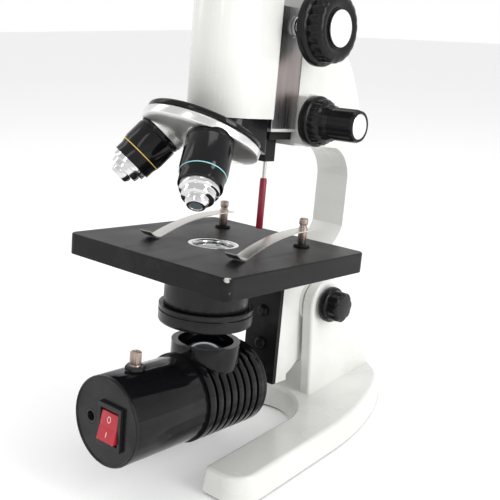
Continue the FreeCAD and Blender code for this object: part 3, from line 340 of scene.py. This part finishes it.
def studio_white():
    """The pale matt floor."""
    paint = Paint("studio_white", Specular_IOR_Level=0.1, Emission_Color=rgb(1, 1, 1),
                  Emission_Strength=0.16)
    drift = paint.noise(3, 2)
    tone = paint.mix(drift, rgb(0.90, 0.90, 0.90), rgb(0.93, 0.93, 0.93))
    return paint.paint(Base_Color=tone, Roughness=drift * 0.1 + 0.6)


FINISHES = {
    "white_enamel": baked_enamel(),
    "black_enamel": stage_enamel(),
    "felt": felt(),
    "knob_plastic": moulded_plastic(),
    "satin_steel": brushed_metal("satin_steel", (0.66, 0.65, 0.63), (0.4, 0.39, 0.38), 0.24,
                                 (0.1, 1, 1)),
    "spring_steel": brushed_metal("spring_steel", (0.80, 0.79, 0.75), (0.70, 0.68, 0.64), 0.24,
                                  (1, 0.04, 0.2), 500.0, 0.004),
    "post_steel": brushed_metal("post_steel", (0.52, 0.43, 0.37), (0.26, 0.2, 0.17), 0.22,
                                (1, 1, 0.06), 900.0),
    "chrome": bright_chrome(),
    "turret_silver": turret_plate(),
    "black_gloss": black_lacquer("black_gloss", (0.005, 0.005, 0.006), 0.1),
    "nickel": guide_nickel(),
    "cap_silver": silver_lacquer(),
    "clear_glass": coated_glass(),
    "switch_red": coloured_plastic("switch_red", (0.40, 0.010, 0.022), (0.52, 0.022, 0.045), 0.16),
    "dark_red": coloured_plastic("dark_red", (0.20, 0.004, 0.018), (0.34, 0.015, 0.04), 0.25),
    "black_plastic": black_lacquer("black_plastic", (0.018, 0.018, 0.019), 0.32, 2600.0),
    "board": coloured_plastic("board", (0.75, 0.75, 0.72), (0.85, 0.85, 0.82), 0.3),
    "cell_wrap": coloured_plastic("cell_wrap", (0.06, 0.18, 0.4), (0.1, 0.25, 0.5), 0.25),
}

LAMP_BLACK = black_lacquer("lamp_black", (0.010, 0.010, 0.011), 0.26, 2200.0)
LAMP_NODES = ("lamp_end_plate", "condenser_holder", "iris_disc")


# ---- CAD nodes: their finish, and softened edges ----

SLOTS = {part["node"]: part["material_slot"] for part in frame["record"]["subparts"]}
WELD_REACH = 0.002 * MM
FLAT_WITHIN, ROUND_ABOVE = radians(0.4), radians(34)      # between neighbouring faces


def dress(node, edge):
    """Gives a CAD node its finish and rounds its sharp edges, in millimetres."""
    thing = NODES[node]
    material = LAMP_BLACK if node in LAMP_NODES else FINISHES[SLOTS[node]]
    thing.data.materials.clear()
    thing.data.materials.append(material)
    if not edge:
        return
    weld = thing.modifiers.new("weld", "WELD")
    weld.merge_threshold = WELD_REACH
    flatten = thing.modifiers.new("flatten", "DECIMATE")
    flatten.decimate_type = "DISSOLVE"
    flatten.angle_limit = FLAT_WITHIN
    bevel = thing.modifiers.new("soft_edges", "BEVEL")
    bevel.width = edge * MM
    bevel.segments = 3
    bevel.limit_method = "ANGLE"
    bevel.angle_limit = ROUND_ABOVE
    bevel.harden_normals = True


EDGES = {"arm_casting": 2.6, "base_casting": 1.2, "body_casting": 1.2, "stage_plate": 0.4,
         "stage_bracket": 0.5, "guide_foot": 0.5, "focus_guide": 0.35, "switch_rocker": 0.5,
         "base_felt": 0, "clip_spring_left": 0.08, "clip_spring_right": 0.08, "stop_rod": 0.1,
         "objective_lenses": 0, "condenser_lens": 0, "led_lens": 0}
PLAIN_EDGE = 0.2
for node in NODES:
    dress(node, EDGES.get(node, PLAIN_EDGE))


# ---- Turned pieces ----

def piece(name, mesh_data, body, slot, stand_for=()):
    """Makes a piece of a bmesh, lets it ride on a body and gives it its slot's finish."""
    mesh = bpy.data.meshes.new(name)
    mesh_data.to_mesh(mesh)
    mesh_data.free()
    mesh.materials.append(FINISHES[slot])
    thing = bpy.data.objects.new(name, mesh)
    bpy.context.scene.collection.objects.link(thing)
    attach(thing, body)
    if stand_for:
        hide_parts(*stand_for)
    return thing


ON_AXIS = 1e-6


def lathe(profile, place, steps, ripple=None):
    """Turns (radius, height) points, in millimetres, about a place's Z.

    ripple(angle, index) gives how far the profile's point is drawn in at an angle."""
    made = bmesh.new()
    rings = []
    for index, (radius, height) in enumerate(profile):
        if radius < ON_AXIS:
            rings.append([made.verts.new(place @ Vector((0, 0, height * MM)))])
            continue
        ring = []
        for step in range(steps):
            angle = 2 * pi * step / steps
            reach = radius - (ripple(angle, index) if ripple else 0)
            spot = Vector((reach * cos(angle), reach * sin(angle), height)) * MM
            ring.append(made.verts.new(place @ spot))
        rings.append(ring)
    pairs = list(zip(rings, rings[1:]))
    if len(rings[0]) > 1:
        pairs.append((rings[-1], rings[0]))
    for lower, upper in pairs:
        for step in range(steps):
            after = (step + 1) % steps
            corners = [lower[step % len(lower)], lower[after % len(lower)],
                       upper[after % len(upper)], upper[step % len(upper)]]
            corners = [c for n, c in enumerate(corners) if c not in corners[:n]]
            if len(corners) > 2:
                made.faces.new(corners)
    bmesh.ops.recalc_face_normals(made, faces=made.faces)
    for face in made.faces:
        face.smooth = True
    return made


CREASE = radians(32)


def sharpen(thing):
    """Keeps sharp creases crisp."""
    thing.data.set_sharp_from_angle(angle=CREASE)
    return thing


def ribs(count, depth, first, last, sharpness=2):
    """Scallops on the profile points from first to last."""
    def ripple(angle, index):
        if not first <= index <= last:
            return 0.0
        return depth * (0.5 - 0.5 * cos(count * angle)) ** sharpness
    return ripple


def all_of(*ripples):
    """Several ripples at once."""
    return lambda angle, index: sum(ripple(angle, index) for ripple in ripples)


def knob_places(joint, node_right, node_left):
    """The two knobs of a shaft: a place at each knob's inner face, with Z outwards."""
    centre = joint_point(joint)
    for side, node in ((1, node_right), (-1, node_left)):
        low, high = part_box(node)
        inner = low.x if side > 0 else high.x
        yield node, along((side, 0, 0), (inner, centre.y, centre.z)), high.x - low.x


def grip(node, outline, place, steps, ripple, body):
    """A ribbed grip that stands for a CAD knob."""
    turned = lathe(outline, place, steps, ripple)
    sharpen(piece(f"{node}_grip", turned, body, "knob_plastic", (node,)))


COARSE_BACK, COARSE_FRONT, COARSE_CAP = 19.9, 17.9, 9.4
for node, place, length in knob_places("coarse_focus", "coarse_knob_right", "coarse_knob_left"):
    end = length / MM
    outline = [(2.5, 0), (COARSE_BACK - 1.4, 0), (COARSE_BACK - 0.5, 0.3), (COARSE_BACK, 1.1),
               (COARSE_BACK, 3.8), (COARSE_BACK - 0.4, 4.6), (COARSE_BACK - 1.0, 5.0),
               (COARSE_FRONT - 0.2, 5.6), (COARSE_FRONT, 6.4), (COARSE_FRONT, end - 5.4),
               (COARSE_FRONT - 0.2, end - 4.6), (COARSE_FRONT - 0.2, end - 2.6),
               (COARSE_FRONT - 0.9, end - 1.3), (COARSE_FRONT - 2.4, end - 0.4),
               (COARSE_FRONT - 4.4, end - 0.1), (COARSE_CAP + 2.0, end - 0.8),
               (COARSE_CAP + 0.9, end - 1.3), (COARSE_CAP + 0.2, end - 1.2),
               (COARSE_CAP + 0.1, end - 0.4), (2.5, end - 0.4)]
    ripple = all_of(ribs(20, 1.1, 7, 10), ribs(20, 0.3, 11, 13))
    grip(node, outline, place, 240, ripple, "coarse_knobs")

FINE_BACK, FINE_STEP, FINE_FRONT, FINE_CAP = 14.0, 12.6, 8.9, 6.9
for node, place, length in knob_places("fine_focus", "fine_knob_right", "fine_knob_left"):
    end = length / MM
    outline = [(2.5, 0), (FINE_BACK - 1.2, 0), (FINE_BACK - 0.4, 0.3), (FINE_BACK, 1.0),
               (FINE_BACK, 4.2), (FINE_BACK - 0.2, 4.9), (FINE_BACK - 0.8, 5.4),
               (FINE_STEP, 5.6), (FINE_STEP, 6.2), (FINE_STEP, 8.4), (FINE_STEP - 0.4, 9.2),
               (FINE_STEP - 1.2, 10.1), (FINE_FRONT + 1.6, 10.7), (FINE_FRONT + 1.3, 11.2),
               (FINE_FRONT + 1.1, 13.6), (FINE_FRONT + 0.6, 14.4), (FINE_FRONT + 0.2, 15.2),
               (FINE_FRONT, 16), (FINE_FRONT, end - 2.4), (FINE_FRONT - 0.2, end - 1.2),
               (FINE_FRONT - 0.7, end - 0.3), (FINE_FRONT - 1.5, end), (FINE_CAP + 0.1, end),
               (FINE_CAP + 0.05, end - 1), (2.5, end - 1)]
    ripple = all_of(ribs(20, 0.5, 8, 10), ribs(12, 0.3, 13, 19, 1))
    grip(node, outline, place, 240, ripple, "fine_knobs")

LOCK_BACK, LOCK_FRONT = 10.9, 9.4
for node, place, _ in knob_places("inclination", "incline_knob_right", "incline_knob_left"):
    outline = [(5.1, 0), (LOCK_BACK - 1.2, 0), (LOCK_BACK - 0.3, 0.4), (LOCK_BACK, 1.2),
               (LOCK_BACK, 3.4), (LOCK_BACK - 0.4, 4.3), (LOCK_BACK - 1.2, 4.8),
               (LOCK_FRONT + 0.1, 5.2), (LOCK_FRONT, 6.2), (LOCK_FRONT, 9.6),
               (LOCK_FRONT - 0.3, 10.8), (LOCK_FRONT - 1.1, 11.6), (LOCK_FRONT - 2.2, 11.9),
               (0, 11.9), (0, 9.2), (5.1, 9.2)]
    grip(node, outline, place, 192, ribs(8, 0.7, 7, 11), node.replace("knob_", ""))


# ---- Objectives: colour bands and chrome collars ----

TURRET_AXIS = joint_axis("nosepiece_turn")
TURRET_POINT = joint_point("nosepiece_turn")
CONE = radians(24.6)            # between the turret's axis and each objective
PORT_CIRCLE = 18.6


def objective_place(turn):
    """A place in the turret's rim plane, with Z up an objective's own axis."""
    turret = along(TURRET_AXIS, TURRET_POINT)
    return (turret @ Matrix.Rotation(radians(turn), 4, "Z")
            @ Matrix.Translation((0, PORT_CIRCLE * MM, 0)) @ Matrix.Rotation(CONE, 4, "X"))


PROUD, SUNK = 0.06, 0.3         # how far a band stands out of its barrel, and goes into it


def band(name, place, radius, height, width):
    """A chrome ring of a radius and width, at a height on an objective."""
    inner, rim = radius - SUNK, radius + PROUD
    low, high = height - width / 2, height + width / 2
    turned = lathe([(inner, low), (rim, low), (rim, high), (inner, high)], place, 128)
    return sharpen(piece(name, turned, "turret", "chrome"))


def colour_material(name, colour):
    return coloured_plastic(name, colour, tuple(min(1, c * 1.25) for c in colour), 0.3)


BAND_COLOURS = {"high": colour_material("band_blue", (0.30, 0.62, 0.66)),
                "low": colour_material("band_yellow", (0.75, 0.52, 0.12))}
OBJECTIVES = {"high": (-120, 31.0), "low": (120, 25.0)}        # turn and barrel length
BAND_RADIUS, BAND_RISE, BAND_WIDTH = 11.55, 6.6, 0.45
COLLAR_RADIUS, COLLAR_DROP, COLLAR_WIDTH = 9.8, 0.45, 0.7
for name, (turn_angle, barrel) in OBJECTIVES.items():
    place = objective_place(turn_angle)
    ring = band(f"objective_{name}_band", place, BAND_RADIUS, -barrel + BAND_RISE, BAND_WIDTH)
    ring.data.materials[0] = BAND_COLOURS[name]
    band(f"objective_{name}_collar", place, COLLAR_RADIUS, -barrel - COLLAR_DROP, COLLAR_WIDTH)


# ---- Small turned pieces: iris retainer and eyepiece lens ----

IRIS_PLACE = along(LIMB_UP, joint_point("iris_lever_swing"))
sharpen(piece("iris_retainer", lathe(
    [(11.6, -5.9), (14.6, -5.9), (14.9, -5.6), (14.9, -5.2), (11.6, -5.2)],
    IRIS_PLACE, 96), "limb", "black_gloss"))

EYE_PLACE = LIMB @ Matrix.Translation((0, -5 * MM, 226 * MM))
sharpen(piece("eyepiece_lens", lathe(
    [(0, 0), (6.4, 0), (6.4, 1.2), (5, 2.0), (3, 2.5), (0, 2.7)], EYE_PLACE, 64),
    "eyepiece", "clear_glass"))


# ---- Lamp: the marks on the switch ----

PRINT = coloured_plastic("print_white", (0.70, 0.62, 0.60), (0.85, 0.78, 0.75), 0.35)
ROCKER = LIMB @ Matrix.Translation(Vector((4.5, -75, -84.6)) * MM)


def mark(name, profile, back, rise, lean, stretch=(1, 1)):
    """A thin print on the rocker's face, leaning with it."""
    place = (ROCKER @ Matrix.Translation(Vector((0, back, rise)) * MM)
             @ Matrix.Rotation(radians(90 + lean), 4, "X")
             @ Matrix.Diagonal((*stretch, 1, 1)))
    thing = sharpen(piece(name, lathe(profile, place, 48), "rocker", "switch_red"))
    thing.data.materials[0] = PRINT


mark("switch_off_mark", [(1.15, -0.1), (1.5, -0.1), (1.5, 0.05), (1.15, 0.05)],
     -1.2, 3.7, -9.3, (0.85, 1.15))
mark("switch_on_mark", [(0, -0.1), (1, -0.1), (1, 0.05), (0, 0.05)],
     -2.8, -3.7, -15.2, (0.25, 1.5))


# ---- The guide's pale strip ----

def strip(name, half, front, back, low, high, body, slot):
    """A closed band round an upright block of the limb, in millimetres."""
    made = bmesh.new()
    corners = [(half, front), (half, back), (-half, back), (-half, front)]
    wall = 0.4
    rings = []
    for inset, level in ((0, low), (0, high), (wall, high), (wall, low)):
        rings.append([made.verts.new(LIMB @ (Vector((
            x - inset * (1 if x > 0 else -1), y + (inset if y == front else -inset),
            level)) * MM)) for x, y in corners])
    for ring, after in zip(rings, rings[1:] + rings[:1]):
        for step in range(4):
            made.faces.new((ring[step], ring[step - 3], after[step - 3], after[step]))
    bmesh.ops.recalc_face_normals(made, faces=made.faces)
    return piece(name, made, body, slot)


strip("guide_strip", half=15.12, front=16.9, back=37.7, low=61.6, high=63.2,
      body="fine_block", slot="cap_silver")


# ---- Dimmer: a fluted shaft ----

DIMMER_AT = LIMB @ Matrix.Translation(Vector((0, -56.8, -84)) * MM)
sharpen(piece("dimmer_shaft_fluted", lathe(
    [(0, 16.2), (3, 16.2), (3, 26.2), (2.8, 26.6), (3, 27), (3, 32.6), (2.9, 33), (2.3, 33.4),
     (1.2, 33.4), (1.1, 33), (0, 33)],
    DIMMER_AT, 216, ribs(18, 0.3, 5, 6, 1)), "dimmer", "post_steel", ("dimmer_shaft",)))


# ---- Camera, light and floor ----

CAMERA_AT = (287.9 * MM, -387.7 * MM, 243.6 * MM)
AZIMUTH, ELEVATION, ROLL = radians(40.247), radians(16.604), radians(1.096)
LENS, FILM = 58.615, 36.0       # in millimetres
NEAREST = 0.02


def make_camera():
    data = bpy.data.cameras.new("camera")
    data.lens = LENS
    data.sensor_width = FILM
    data.clip_start = NEAREST
    camera = bpy.data.objects.new("camera", data)
    bpy.context.scene.collection.objects.link(camera)
    ahead = Vector((-sin(AZIMUTH) * cos(ELEVATION), cos(AZIMUTH) * cos(ELEVATION),
                    -sin(ELEVATION)))
    level = Vector((cos(AZIMUTH), sin(AZIMUTH), 0))
    over = level.cross(ahead)
    right = level * cos(ROLL) + over * sin(ROLL)
    top = over * cos(ROLL) - level * sin(ROLL)
    turned = Matrix((right, top, -ahead)).transposed().to_4x4()
    camera.matrix_world = Matrix.Translation(CAMERA_AT) @ turned
    bpy.context.scene.camera = camera


def softbox(name, place, target, size, power):
    """A rectangular soft light of a width and height, aimed at a target."""
    data = bpy.data.lights.new(name, "AREA")
    data.shape = "RECTANGLE"
    data.size, data.size_y = size
    data.energy = power
    lamp = bpy.data.objects.new(name, data)
    bpy.context.scene.collection.objects.link(lamp)
    aim = Vector(target) - Vector(place)
    lamp.matrix_world = (Matrix.Translation(place)
                         @ aim.to_track_quat("-Z", "Y").to_matrix().to_4x4())


def make_world():
    """Bright at the horizon and dimmer overhead, like a large tent."""
    world = bpy.data.worlds.new("studio")
    bpy.context.scene.world = world
    world.use_nodes = True
    nodes, links = world.node_tree.nodes, world.node_tree.links
    background = nodes["Background"]
    background.inputs["Color"].default_value = rgb(1, 1, 1)
    coordinates = nodes.new("ShaderNodeTexCoord")
    parts = nodes.new("ShaderNodeSeparateXYZ")
    fade = nodes.new("ShaderNodeMapRange")
    for socket, value in (("From Min", 0.08), ("From Max", 0.5), ("To Min", 1.0),
                          ("To Max", 0.75)):
        fade.inputs[socket].default_value = value
    links.new(coordinates.outputs["Generated"], parts.inputs["Vector"])
    links.new(parts.outputs["Z"], fade.inputs["Value"])
    links.new(fade.outputs["Result"], background.inputs["Strength"])


FLOOR_HALF, FLOOR_DROP = 6, 0.0002
MIDDLE = (0, 0, 0.15)           # what the lights are aimed at


def make_studio():
    make_world()
    softbox("side", (1.0, 0.05, 0.55), MIDDLE, (0.35, 0.8), 5.5)
    softbox("front", (0.25, -1.2, 0.9), MIDDLE, (0.25, 0.7), 1.4)
    softbox("left", (-0.9, -0.5, 0.7), MIDDLE, (0.3, 0.7), 1.2)
    softbox("top", (0.1, 0.2, 1.3), MIDDLE, (0.6, 0.6), 3)
    floor = bmesh.new()
    bmesh.ops.create_grid(floor, x_segments=8, y_segments=8, size=FLOOR_HALF)
    mesh = bpy.data.meshes.new("floor")
    floor.to_mesh(mesh)
    floor.free()
    mesh.materials.append(studio_white())
    thing = bpy.data.objects.new("floor", mesh)
    thing.location.z = -FLOOR_DROP
    bpy.context.scene.collection.objects.link(thing)


make_camera()
make_studio()
bpy.context.scene.view_settings.view_transform = "Standard"
